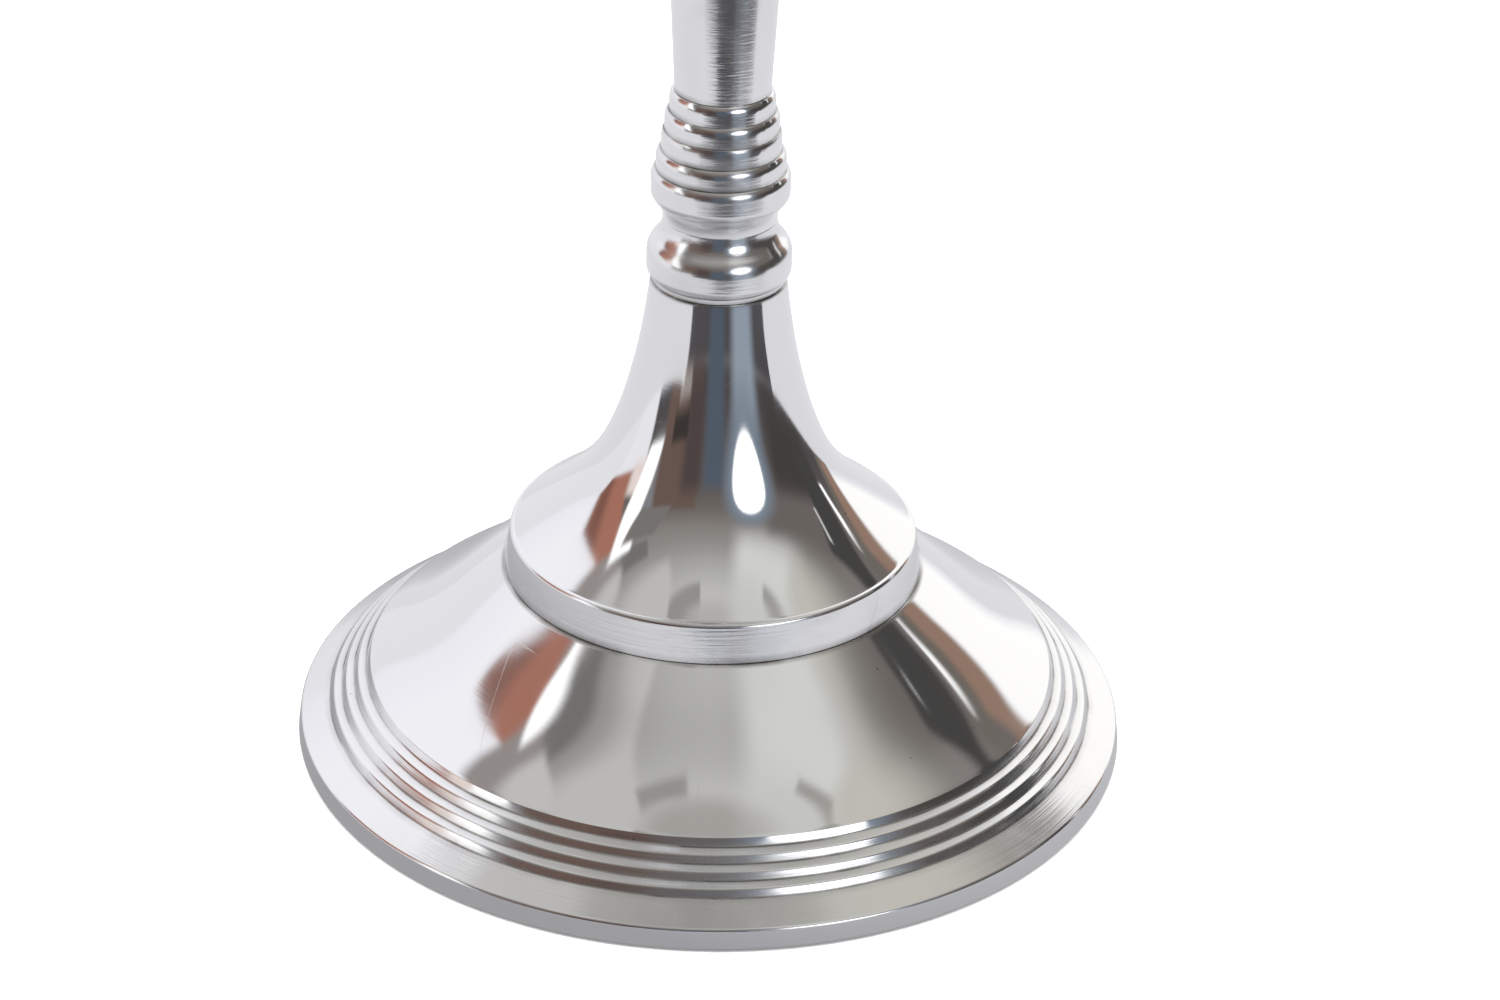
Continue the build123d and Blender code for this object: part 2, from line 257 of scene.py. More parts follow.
def close_poles(mesh):
    """Merges the points that lie together on the axis, so that a solid end comes to one point."""
    shell = bmesh.new()
    shell.from_mesh(mesh)
    bmesh.ops.remove_doubles(shell, verts=shell.verts, dist=0.001 * MM)
    shell.to_mesh(mesh)
    shell.free()


def mesh_of(name, points, quads):
    """A mesh of four-sided faces from one array of points and one of indices, shaded smooth."""
    mesh = bpy.data.meshes.new(name)
    mesh.vertices.add(len(points))
    mesh.vertices.foreach_set("co", points.astype(np.float32).ravel())
    mesh.loops.add(quads.size)
    mesh.loops.foreach_set("vertex_index", quads.astype(np.int32).ravel())
    mesh.polygons.add(len(quads))
    mesh.polygons.foreach_set("loop_start", np.arange(0, quads.size, 4, dtype=np.int32))
    mesh.polygons.foreach_set("use_smooth", np.ones(len(quads), bool))
    mesh.update(calc_edges=True)
    mesh.validate()
    return mesh


def in_scene(name, data):
    """A new object for a mesh, lamp or camera, linked to the scene."""
    made = bpy.data.objects.new(name, data)
    bpy.context.scene.collection.objects.link(made)
    return made


def placed(name, mesh, body):
    """Puts the piece in the scene, lets it ride on its body and stand for the CAD node of the same name."""
    piece = in_scene(name + "_turned", mesh)
    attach(piece, body)
    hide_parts(name)
    pieces[name] = piece
    size = np.array(piece.bound_box) / MM
    print(f"{name}: {len(mesh.polygons)} faces, radius {size[:, 0].max():.2f}, height {size[:, 2].min():.2f} "
          f"to {size[:, 2].max():.2f} mm")
    return piece


# %% [markdown]
# ## The foot dish
#
# The foot is a thin casting: an upright rim, a sloping flat, four small steps and a cone up to the bell. The
# cone is made up to a millimetre hollow here, where the engineering model has it straight. That is a judgement
# from how reflections lie on it: a ruler would hardly find it, but a mirror shows it at once. Only the steps
# and the rim keep their tool marks. The underside is left as it came out of the mould. The outline starts at
# the inner edge of the sole and goes up the outside, over the flange, and back along the underside.

# %% Foot dish
RIM_EDGE_HEIGHT = 4.9
RIM_EDGE_LEAN = 0.7
RIM_FLAT_RUN = 8.2
RIM_FLAT_RISE = 4.9
RIM_SOLE_WIDTH = 13.0
STEP_COUNT = 4
STEP_RISER, STEP_LEAN = 2.2, 1.2
STEP_TREAD_RUN, STEP_TREAD_RISE = 2.2, 0.8
STEP_ROUND = 1.3        # mm, more than on the other edges
CONE_HOLLOW = ((0.25, -0.95), (0.5, -0.95), (0.75, -0.4))   # share of the way up, mm below the straight line
DISH_WALL = 3.5
DISH_FLANGE = 4.0
DISH_BORE = 40.0
SEAT_MARGIN = 0.3
REGISTER_RADIUS, REGISTER_HEIGHT = 52.0, 3.0

rim_radius = radius("foot_dish")
band_radius = radius("foot_bell")


def foot_dish():
    """Steps climb as (r - lean, z + riser), then (r - run, z + rise), once for each step."""
    edge = rim_radius - RIM_EDGE_LEAN
    flat_top = (edge - RIM_FLAT_RUN, sole_z + RIM_EDGE_HEIGHT + RIM_FLAT_RISE)
    steps = [(rim_radius, sole_z), (edge, sole_z + RIM_EDGE_HEIGHT + 0.5), flat_top]
    stride = np.arange(STEP_COUNT)[:, None]
    risers = np.array(flat_top) + stride * (-STEP_LEAN - STEP_TREAD_RUN, STEP_RISER + STEP_TREAD_RISE)
    riser_tops = risers + (-STEP_LEAN, STEP_RISER)
    treads = riser_tops + (-STEP_TREAD_RUN, STEP_TREAD_RISE)
    steps += np.stack([riser_tops, treads], 1).reshape(-1, 2).tolist()
    cone_foot = steps[-2]
    cone_top = (band_radius + SEAT_MARGIN, bell_z)
    span = np.array(cone_top) - cone_foot
    cone = [cone_foot] + [cone_foot + span * share + (0, drop) for share, drop in CONE_HOLLOW] + [cone_top]
    slope = atan2(span[1], -span[0])
    inner_foot = (cone_foot[0] - DISH_WALL * sin(slope), cone_foot[1] - DISH_WALL * cos(slope))
    flange_z = bell_z - DISH_FLANGE
    inner_top = (inner_foot[0] - (flange_z - inner_foot[1]) / (sin(slope) / cos(slope)), flange_z)
    register_bore = REGISTER_RADIUS - DISH_WALL
    sole_inner = rim_radius - RIM_SOLE_WIDTH
    outline = np.vstack([
        run([(sole_inner, sole_z)] + steps[:-2], TURNED),
        run(smooth_curve(cone, 40), BUFFED),
        run([(REGISTER_RADIUS, bell_z), (REGISTER_RADIUS, bell_z + REGISTER_HEIGHT),
             (register_bore, bell_z + REGISTER_HEIGHT), (register_bore, bell_z), (DISH_BORE, bell_z),
             (DISH_BORE, flange_z)], TURNED),
        run([inner_top, inner_foot, (sole_inner, sole_z + RIM_EDGE_HEIGHT + STEP_RISER)], RAW)])
    out, up, _, raw = outline.T
    on_steps = (out > cone_foot[0]) & (up > sole_z + RIM_EDGE_HEIGHT) & (raw == 0)
    rounding = np.where(on_steps, STEP_ROUND, EDGE_WEAR)
    # Painted shade and residue go into the inner corners of the steps and the joint under the bell.
    return turn("foot_dish", guarded(softened(outline, rounding)), "stand", "cast_aluminium",
                joints=treads.tolist()[:-1] + [flat_top, cone_top], reach=0.4)


foot_dish()

# %% [markdown]
# ## The bell
#
# The bell stands on the dish. An upright band at its foot ends in a small round lip, and from there one long
# flare rises to the collar. A bell's flare is easy to get nearly right and hard to get right, because its
# slope decides where every reflection falls. So one spline runs from the lip through the engineering model's
# points to the top. It leaves out the slight break where that model's short cone meets its flare.

# %% Foot bell
BAND_HEIGHT = 9.8
BAND_LEAN = 1.4
LIP_ROUND = 1.3
CONE_RUN, CONE_RISE = 12.4, 10.2
BELL_TOP_RADIUS = 18.35
BELL_WALL = 4.0
FLARE = ((0.68, 0.13), (0.41, 0.32), (0.20, 0.57), (0.07, 0.81))    # shares out and up
SPIGOT_RADIUS, SPIGOT_LENGTH = 11.0, 5.0
FIT = 0.1               # clearance round each spigot
SPIGOT_GAP = 0.5
ROD_HOLE = 4.5


def foot_bell():
    """Band, lip arc and spline outside; the same flare set in by the wall inside."""
    band_top = (band_radius - BAND_LEAN, bell_z + BAND_HEIGHT)
    lip = (band_top[0] - LIP_ROUND, band_top[1] + LIP_ROUND)
    cone_top = np.array((lip[0] - CONE_RUN, lip[1] + CONE_RISE))
    reach = np.array((cone_top[0] - BELL_TOP_RADIUS, collar_z - cone_top[1]))
    base = np.array((BELL_TOP_RADIUS, cone_top[1]))
    flare = [np.array(lip), cone_top] + [base + reach * share for share in FLARE] + [base + reach * (0, 1)]
    inner = [point - (BELL_WALL, BELL_WALL / 2) for point in flare[1:-1]]
    recess = SPIGOT_RADIUS + FIT
    recess_z = collar_z - SPIGOT_LENGTH - SPIGOT_GAP
    register = REGISTER_RADIUS + FIT
    outline = np.vstack([
        run([(register, bell_z), (band_radius, bell_z)], TURNED),
        run(arc((lip[0], band_top[1]), LIP_ROUND, 0, pi / 2)[:-1], TURNED),
        run(smooth_curve(flare, 120), BUFFED),
        run([(recess, collar_z), (recess, recess_z), (ROD_HOLE, recess_z), (ROD_HOLE, recess_z - BELL_WALL),
             (recess, recess_z - BELL_WALL)], TURNED),
        run(smooth_curve(inner, 24)[::-1], RAW),
        run([(register, lip[1] - BELL_WALL)], RAW)])
    return turn("foot_bell", guarded(softened(outline, 0.25)), "stand", "cast_aluminium",
                joints=[(band_radius, bell_z), (BELL_TOP_RADIUS, collar_z)], reach=0.5)


foot_bell()

# %% [markdown]
# ## Collars and knops
#
# Two pairs of solid castings dress the ends of the shaft: a collar with one fat bead, and a knop of stepped
# rings. Both pairs share one rule. A neck swells into an upright side by an ogee, which is a hollow eighth of
# a circle followed by a round eighth. The head is the foot's pair turned upside down, so each function takes
# a way: 1 builds upward and -1 builds downward.

# %% Ogee, collar and knop outlines
COLLAR_SIDE, COLLAR_ROUND, COLLAR_QUIRK = 3.9, 3.0, 0.9
NECK_SPIGOT = 8.0
BULB_SIDE = 4.0
RING_PITCH = 5.55
RING_LEDGE = 0.35
RING_SHOULDER = 2.3
SHAFT_WALL = 3.6


def ogee(neck, side, cove, z, way):
    """Neck to side: radii cove and bead add up to (side - neck) / (1 - cos 45), and the height is that sum
    times sin 45. The points come in order from the neck at height z out to the side."""
    total = (side - neck) / (1 - cos(EIGHTH_TURN))
    side_z = z + way * total * sin(EIGHTH_TURN)
    bead = total - cove
    hollow = arc((neck + cove, z), cove, pi, pi - way * EIGHTH_TURN)
    swell = arc((side - bead, side_z), bead, -way * EIGHTH_TURN, 0)
    return np.vstack([hollow, swell[1:]])


def collar(name, neck, side, cove, z, way):
    """From the neck: ogee out, upright side, a sixth of a circle under, and a short quirk to the seat."""
    out = ogee(neck, side, cove, z, way)
    side_end = out[-1, 1] + way * COLLAR_SIDE
    under = arc((side - COLLAR_ROUND, side_end), COLLAR_ROUND, 0, way * pi / 3)
    seat = side_end + way * (COLLAR_ROUND + COLLAR_QUIRK)
    recess = NECK_SPIGOT + FIT
    recess_end = z + way * (SPIGOT_LENGTH + SPIGOT_GAP)
    spigot_end = seat + way * SPIGOT_LENGTH
    outline = np.vstack([
        run([(ROD_HOLE, recess_end), (recess, recess_end), (recess, z)], TURNED),
        run(out, TURNED), run(under, TURNED),
        run([(under[-1, 0], seat), (SPIGOT_RADIUS, seat), (SPIGOT_RADIUS, spigot_end), (ROD_HOLE, spigot_end)],
            TURNED)])
    return turn(name, guarded(softened(outline, 0.2)), "stand", "cast_aluminium",
                joints=[(under[-1, 0], seat - way * COLLAR_QUIRK / 2)], reach=0.3)


def ring_steps(inner, rings, z, way):
    """Each ring: a ledge, a shoulder arc of radius (proud^2 + h^2) / (2 proud) tangent to the side, the side."""
    steps = []
    for size in rings:
        proud = size - inner - RING_LEDGE
        shoulder = (proud**2 + RING_SHOULDER**2) / (2 * proud)
        side_z = z + way * RING_SHOULDER
        upright = BULB_SIDE if size == rings[-1] else RING_PITCH - RING_SHOULDER
        swing = -way * asin(RING_SHOULDER / shoulder)
        steps += [arc((size - shoulder, side_z), shoulder, swing, 0), [(size, side_z + way * upright)]]
        inner, z = size, z + way * RING_PITCH
    return np.vstack(steps)


def knop(name, shaft_end, rings, neck, cove, z, way):
    """From the shaft's end at height z: the rings, the bulb's side, and an ogee in to the neck."""
    steps = ring_steps(shaft_end, rings, z, way)
    total = (rings[-1] - neck) / (1 - cos(EIGHTH_TURN))
    neck_height = steps[-1, 1] + way * total * sin(EIGHTH_TURN)
    inward = ogee(neck, rings[-1], cove, neck_height, -way)[::-1]
    spigot = shaft_end - SHAFT_WALL - FIT
    outline = np.vstack([
        run([(ROD_HOLE, z - way * SPIGOT_LENGTH), (spigot, z - way * SPIGOT_LENGTH), (spigot, z),
             (shaft_end, z)], TURNED),
        run(steps, TURNED), run(inward[1:], TURNED),
        run([(NECK_SPIGOT, neck_height), (NECK_SPIGOT, neck_height + way * SPIGOT_LENGTH),
             (ROD_HOLE, neck_height + way * SPIGOT_LENGTH)], TURNED)])
    joints = [(size, z + way * RING_PITCH * (k + 1)) for k, size in enumerate(rings[:-1])]
    return turn(name, guarded(softened(outline, 0.16)), "stand", "cast_aluminium", joints=joints, reach=0.35)


# %% The two pairs
NECK_RADIUS, COVE_RADIUS = 15.3, 8.0
KNOP_RINGS = (14.0, 15.2, 15.95, 17.25, 18.55)
HEAD_RINGS = (25.2, 26.1, 26.9, 27.7)
HEAD_NECK_RADIUS, HEAD_COVE_RADIUS = 20.5, 10.0
SHAFT_FOOT_RADIUS = 12.75
shaft_top_radius = radius("stem_shaft")

collar("lower_collar", NECK_RADIUS, radius("lower_collar"), COVE_RADIUS, neck_z, -1)
knop("lower_knop", SHAFT_FOOT_RADIUS, KNOP_RINGS, NECK_RADIUS, COVE_RADIUS, shaft_z, -1)
knop("head_knop", shaft_top_radius, HEAD_RINGS, HEAD_NECK_RADIUS, HEAD_COVE_RADIUS, head_z, 1)
collar("head_collar", HEAD_NECK_RADIUS, radius("head_collar"), HEAD_COVE_RADIUS, head_neck_z, 1)

# %% [markdown]
# ## The shaft
#
# A long tube that widens upward. Its side is a hair hollow, not straight, which keeps a tall taper from
# looking swollen. It is finished with long strokes of fine cloth on the lathe, so it stays softly lined.

# %% Stem shaft
SHAFT_HOLLOW = 0.25
SHAFT_RINGS = 60


def stem_shaft():
    """Side: r = foot + (top - foot) t - 4 hollow t (1 - t), with t the share of the height."""
    t = np.linspace(0, 1, SHAFT_RINGS)
    straight = SHAFT_FOOT_RADIUS + (shaft_top_radius - SHAFT_FOOT_RADIUS) * t
    side = np.stack([straight - 4 * SHAFT_HOLLOW * t * (1 - t), shaft_z + (head_z - shaft_z) * t], 1)
    foot_bore, top_bore = SHAFT_FOOT_RADIUS - SHAFT_WALL, shaft_top_radius - SHAFT_WALL
    recess = SPIGOT_LENGTH + SPIGOT_GAP
    outline = np.vstack([
        run([(foot_bore, shaft_z)], TURNED), run(side, TURNED), run([(top_bore, head_z)], TURNED),
        run([(top_bore, head_z - recess), (foot_bore, shaft_z + recess)], RAW)])
    return turn("stem_shaft", guarded(softened(outline, 0.12)), "stand", "cast_aluminium",
                joints=[(SHAFT_FOOT_RADIUS, shaft_z), (shaft_top_radius, head_z)], reach=0.3)


stem_shaft()

# %% [markdown]
# ## The head: pan seat, socket, drip pan and nozzle
#
# The pan seat is a small flared cup. The socket stands on it and holds the nozzle, a thin loose cup that
# takes the candle. The drip pan is spun from sheet: its edge is rolled, and the spinning tool leaves a fine
# groove that winds out from the middle. It lies loose on the seat, so it rides on its own body.

# %% Pan seat and candle socket
SEAT_FOOT_RADIUS = 24.2
SEAT_BAND_HEIGHT, SEAT_BAND_LEAN, SEAT_LIP_ROUND = 6.0, 1.0, 1.3
SEAT_HOLLOW_OUT, SEAT_HOLLOW_UP = 0.3, 0.66
SOCKET_WALL = 2.0
SOCKET_BEAD, SOCKET_BEAD_HEIGHT = 0.8, 4.0
SOCKET_FLOOR = 5.0
seat_lip = radius("pan_seat")
socket_bead = radius("candle_socket")


def pan_seat():
    """Foot, a hollow flare through one middle point, a quarter-round lip and a leaning band."""
    lip_z = pan_z - SEAT_BAND_HEIGHT
    flare_end = seat_lip - SEAT_LIP_ROUND
    middle = (SEAT_FOOT_RADIUS + SEAT_HOLLOW_OUT * (flare_end - SEAT_FOOT_RADIUS),
              seat_z + SEAT_HOLLOW_UP * (lip_z - seat_z))
    recess = SPIGOT_RADIUS + FIT
    recess_z = seat_z + SPIGOT_LENGTH + SPIGOT_GAP
    outline = np.vstack([
        run([(recess, seat_z)], TURNED),
        run(smooth_curve([(SEAT_FOOT_RADIUS, seat_z), middle, (flare_end, lip_z)], 40), BUFFED),
        run(arc((flare_end, lip_z + SEAT_LIP_ROUND), SEAT_LIP_ROUND, -pi / 2, 0)[1:], TURNED),
        run([(seat_lip - SEAT_BAND_LEAN, pan_z), (ROD_HOLE, pan_z), (ROD_HOLE, recess_z), (recess, recess_z)],
            TURNED)])
    return turn("pan_seat", guarded(softened(outline, 0.2)), "stand", "cast_aluminium",
                joints=[(SEAT_FOOT_RADIUS, seat_z)])


def candle_socket():
    """A cup with a half-round bead at its foot and at its lip."""
    side = socket_bead - SOCKET_BEAD
    bore = side - SOCKET_WALL
    half = SOCKET_BEAD_HEIGHT / 2
    swell = np.linspace(-1, 1, 13)[:, None]
    bead = np.hstack([side + SOCKET_BEAD * np.sqrt(1 - swell**2), swell * half])
    outline = np.vstack([
        run([(ROD_HOLE, pan_z)], TURNED), run(bead + (0, pan_z + half), TURNED),
        run([(side, pan_z + SOCKET_BEAD_HEIGHT + 1), (side, socket_z - SOCKET_BEAD_HEIGHT - 1)], BUFFED),
        run(bead + (0, socket_z - half), TURNED),
        run([(bore, socket_z), (bore, pan_z + SOCKET_FLOOR), (ROD_HOLE, pan_z + SOCKET_FLOOR)], TURNED)])
    return turn("candle_socket", guarded(softened(outline, 0.15)), "stand", "cast_aluminium",
                joints=[(side, pan_z)])


pan_seat()
candle_socket()

# %% Drip pan and candle nozzle
PAN_FLAT_RADIUS = 40.0
PAN_FLOOR_RISE = 3.5
PAN_WALL_RADIUS = 8.0
PAN_HEIGHT = 14.0
PAN_SHEET = 2.4
PAN_CLEARANCE = 0.8
NOZZLE_FLANGE = 1.2
NOZZLE_WALL = 0.8
NOZZLE_DEPTH = 29.0
NOZZLE_OUTSIDE = 21.1
pan_radius = radius("drip_pan")


def drip_pan():
    """Flat middle, sloping floor, a quarter round up into the wall and a half-round rolled edge."""
    hole = socket_bead + PAN_CLEARANCE
    centre = (pan_radius - PAN_WALL_RADIUS, pan_z + PAN_FLOOR_RISE + PAN_WALL_RADIUS)
    edge = (pan_radius - PAN_SHEET / 2, pan_z + PAN_HEIGHT)
    outline = run(np.vstack([
        [(hole, pan_z), (PAN_FLAT_RADIUS, pan_z)], arc(centre, PAN_WALL_RADIUS, -pi / 2, 0),
        arc(edge, PAN_SHEET / 2, 0, pi), arc(centre, PAN_WALL_RADIUS - PAN_SHEET, 0, -pi / 2),
        [(PAN_FLAT_RADIUS, pan_z + PAN_SHEET), (hole, pan_z + PAN_SHEET)]]), TURNED)
    return turn("drip_pan", guarded(softened(outline, 0.4)), "drip_pan", "spun_aluminium")


def candle_nozzle():
    """A thin cup with a closed floor, hung on its flange."""
    bore = NOZZLE_OUTSIDE - NOZZLE_WALL
    floor_z = nozzle_z - NOZZLE_DEPTH
    outline = run([(0, floor_z), (bore, floor_z), (bore, nozzle_z), (socket_bead, nozzle_z),
                   (socket_bead, nozzle_z - NOZZLE_FLANGE), (NOZZLE_OUTSIDE, nozzle_z - NOZZLE_FLANGE),
                   (NOZZLE_OUTSIDE, floor_z - NOZZLE_WALL), (0, floor_z - NOZZLE_WALL)], TURNED)
    return turn("candle_nozzle", guarded(softened(outline, 0.25)), "candle_nozzle", "spun_aluminium")


drip_pan()
candle_nozzle()

# %% [markdown]
# ## Threads on the tie rod
#
# The rod is M8 steel with a thread cut on each end. A thread is one profile that climbs as it goes round, so
# its depth depends on only one number: the height in pitches minus the share of a turn. That makes it a
# function of two parameters with no helix object and no boolean.

# %% Tie rod
THREAD_PITCH = 1.25
THREAD_DEPTH = 0.6
THREADED_END = 30.0
POINTS_PER_PITCH = 10
ROD_SEGMENTS = 40
ROD_CHAMFER = 0.7


def tie_rod():
    """r = rod - depth * v(z / pitch - a / 2 pi) at the threaded ends, where v goes from 0 to 1 and back."""
    rod = radius("tie_rod")
    low, high = bottom("tie_rod"), top("tie_rod")
    step = THREAD_PITCH / POINTS_PER_PITCH
    ends = np.arange(0, THREADED_END, step)
    middle = np.linspace(low + THREADED_END, high - THREADED_END, 12)
    z = np.concatenate([low + ends, middle, high - ends[::-1]])
    outline = np.vstack([run(np.stack([np.full(len(z), rod), z], 1), TURNED),
                         run([(0, high), (0, low)], TURNED)])

    def thread(a, r, z):
        phase = (z / THREAD_PITCH - a / (2 * pi)) % 1
        groove = 1 - np.abs(2 * phase - 1)
        plain = np.clip((np.minimum(z - low, high - z) - THREADED_END + 2) / 2, 0, 1)
        chamfer = np.clip(ROD_CHAMFER - np.minimum(z - low, high - z), 0, None)
        return np.where(r > 1, -THREAD_DEPTH * groove * (1 - plain) - chamfer, 0)

    return turn("tie_rod", outline, "stand", "zinc_plated_steel", segments=ROD_SEGMENTS, wobble=thread)


tie_rod()

# %% [markdown]
# ## The felt ring
#
# A ring of pressed wool keeps the foot from scratching the altar. Cut felt has no clean edge: its rim is a
# little ragged. The wobble of the turning adds that raggedness as a sum of a few sines round the ring.

# %% Felt ring
FELT_WIDTH = 10.0
FELT_RAG = 0.12         # mm


def felt_ring():
    """A flat ring whose radius shifts by rag * (sin 23a + sin (41a + 1) + sin (67a + 2)) / 3, inward only."""
    outer = radius("felt_ring")
    outline = run([(outer - FELT_WIDTH, 0), (outer, 0), (outer, sole_z), (outer - FELT_WIDTH, sole_z)], RAW)

    def rag(a, r, z):
        waves = (np.sin(23 * a) + np.sin(41 * a + 1) + np.sin(67 * a + 2)) / 3
        return FELT_RAG * (waves - 1) + 0 * r

    return turn("felt_ring", guarded(softened(outline, 0.3)), "stand", "felt", segments=480, wobble=rag)


felt_ring()
print("turned pieces:", len(pieces), "faces in all:", sum(len(p.data.polygons) for p in pieces.values()))

# %% [markdown]
# ## Building materials from nodes
#
# Every finish below is a small tree of nodes. One helper adds a node and wires its inputs, and one turns a
# colour as a painter would name it (an sRGB hex value) into the linear light that the renderer needs.

# %% Node and colour helpers
def linear(hex_colour):
    """sRGB to linear: v / 12.92 up to 0.04045, and ((v + 0.055) / 1.055) ^ 2.4 above it."""
    values = [int(hex_colour[k:k + 2], 16) / 255 for k in (0, 2, 4)]
    return tuple(v / 12.92 if v <= 0.04045 else ((v + 0.055) / 1.055) ** 2.4 for v in values) + (1.0,)


def wired(tree, node, inputs):
    """Gives each input a value, or a link to an output, or a link to the first output of another node."""
    for key, value in inputs.items():
        value = value.outputs[0] if isinstance(value, bpy.types.Node) else value
        if isinstance(value, bpy.types.NodeSocket):
            tree.links.new(value, node.inputs[key])
        else:
            node.inputs[key].default_value = value
    return node


def add(tree, kind, inputs=None, **settings):
    """Adds a ShaderNode of this kind, sets its own properties and wires its inputs."""
    made = tree.nodes.new("ShaderNode" + kind)
    for key, value in settings.items():
        setattr(made, key, value)
    return wired(tree, made, inputs or {})


def new_material(name):
    """A node tree with only a principled shader on its surface. Returns the material, tree and shader."""
    material = bpy.data.materials.new(name)
    material.use_nodes = True
    tree = material.node_tree
    tree.nodes.clear()
    shader = add(tree, "BsdfPrincipled")
    add(tree, "OutputMaterial", {"Surface": shader})
    return material, tree, shader


def dress(name, material):
    """Puts a material on a new piece, or on the CAD node of that name if it has none."""
    piece = pieces.get(name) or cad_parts[name]
    piece.data.materials.clear()
    piece.data.materials.append(material)


# %% [markdown]
# ## Lines that go round
#
# A lathe cuts and a buffing wheel drags along circles about the axis. The marks depend on the distance from
# the axis and on the height, and hardly at all on the angle. A four-dimensional noise does exactly this: two
# of its coordinates are radius and height in line widths, and the other two are the cosine and sine of the
# angle, made small so that a line changes slowly on its way round. It has no seam, and it needs no UV map.

# %% Circular tool marks
def round_coordinates(tree):
    """Returns the place, the distance from the axis, the height and the unit direction outward, in metres."""
    place = add(tree, "TexCoord").outputs["Object"]
    flat = add(tree, "VectorMath", {0: place, 1: (1, 1, 0)}, operation="MULTIPLY")
    distance = add(tree, "VectorMath", {0: flat}, operation="LENGTH").outputs["Value"]
    height = add(tree, "SeparateXYZ", {0: place}).outputs["Z"]
    outward = add(tree, "VectorMath", {0: flat}, operation="NORMALIZE")
    return place, distance, height, outward


def tool_marks(tree, distance, height, outward, width, drift, detail):
    """Noise of lines width mm wide that change over about 1 / drift of the radius as they go round."""
    scale = 1 / (width * MM)
    parts = add(tree, "SeparateXYZ", {0: outward})
    along = add(tree, "Math", {0: parts.outputs["X"], 1: drift}, operation="MULTIPLY")
    across = add(tree, "Math", {0: parts.outputs["Y"], 1: drift}, operation="MULTIPLY")
    far = add(tree, "Math", {0: distance, 1: scale}, operation="MULTIPLY")
    high = add(tree, "Math", {0: height, 1: scale}, operation="MULTIPLY")
    spot = add(tree, "CombineXYZ", {0: far, 1: high, 2: along})
    return add(tree, "TexNoise", {"Vector": spot, "W": across, "Scale": 1.0, "Detail": detail,
                                  "Roughness": 0.6}, noise_dimensions="4D")


# %% [markdown]
# ## Buffed and turned cast aluminium
#
# Cast aluminium is turned on a lathe, then buffed with a mop and a greasy compound. The flat and flaring
# parts come out close to a mirror. The steps, rings and edges are hard to reach, so the tool's lines stay in
# them, and they spread each reflection across the lines. Three things tell the eye that this is a casting
# and not chrome: tiny pits where gas was trapped, each darkened with painted shade, hairline scratches from
# wiping, and a faint wave in the polish. The joints and the inner corners of the steps and rings are darkened
# with painted shade, along with the dark compound that stays in them. Where no tool ever went, the skin is
# dull and grainy.
#
# A metal's colour is its reflection. Aluminium's is a light grey with no tint to speak of, and its index of
# refraction is left alone.

# %% Cast aluminium
LINE_WIDTH = 0.6        # mm between tool marks; the real feed is nearer 0.3, too fine to show
BUFF_LINE_WIDTH = 1.6   # mm
POLISH_WAVE = 22.0      # mm from one wave of the polish to the next
PIT_CELL = 9.0          # mm between pits, on average
PIT_SIZE = 0.3          # mm radius
SAND_GRAIN = 0.8        # mm
SMUDGE = 26.3           # mm across a patch that was polished more or less
POLISHED_ROUGHNESS = (0.035, 0.085)
SATIN_ROUGHNESS = (0.1, 0.23)
SKIN_ROUGHNESS, DIRT_ROUGHNESS, SCRATCH_ROUGHNESS = 0.48, 0.35, 0.1
WAVE_DEPTH, BUFF_DEPTH, LINE_DEPTH, SKIN_DEPTH = 0.016, 0.004, 0.04, 0.2    # mm
WIPE_SWEEP = 60.0       # mm, size of the curves that a wiping hand draws
SCRATCH_WIDTH = 0.14    # mm; the real ones are a tenth of this, too fine to show


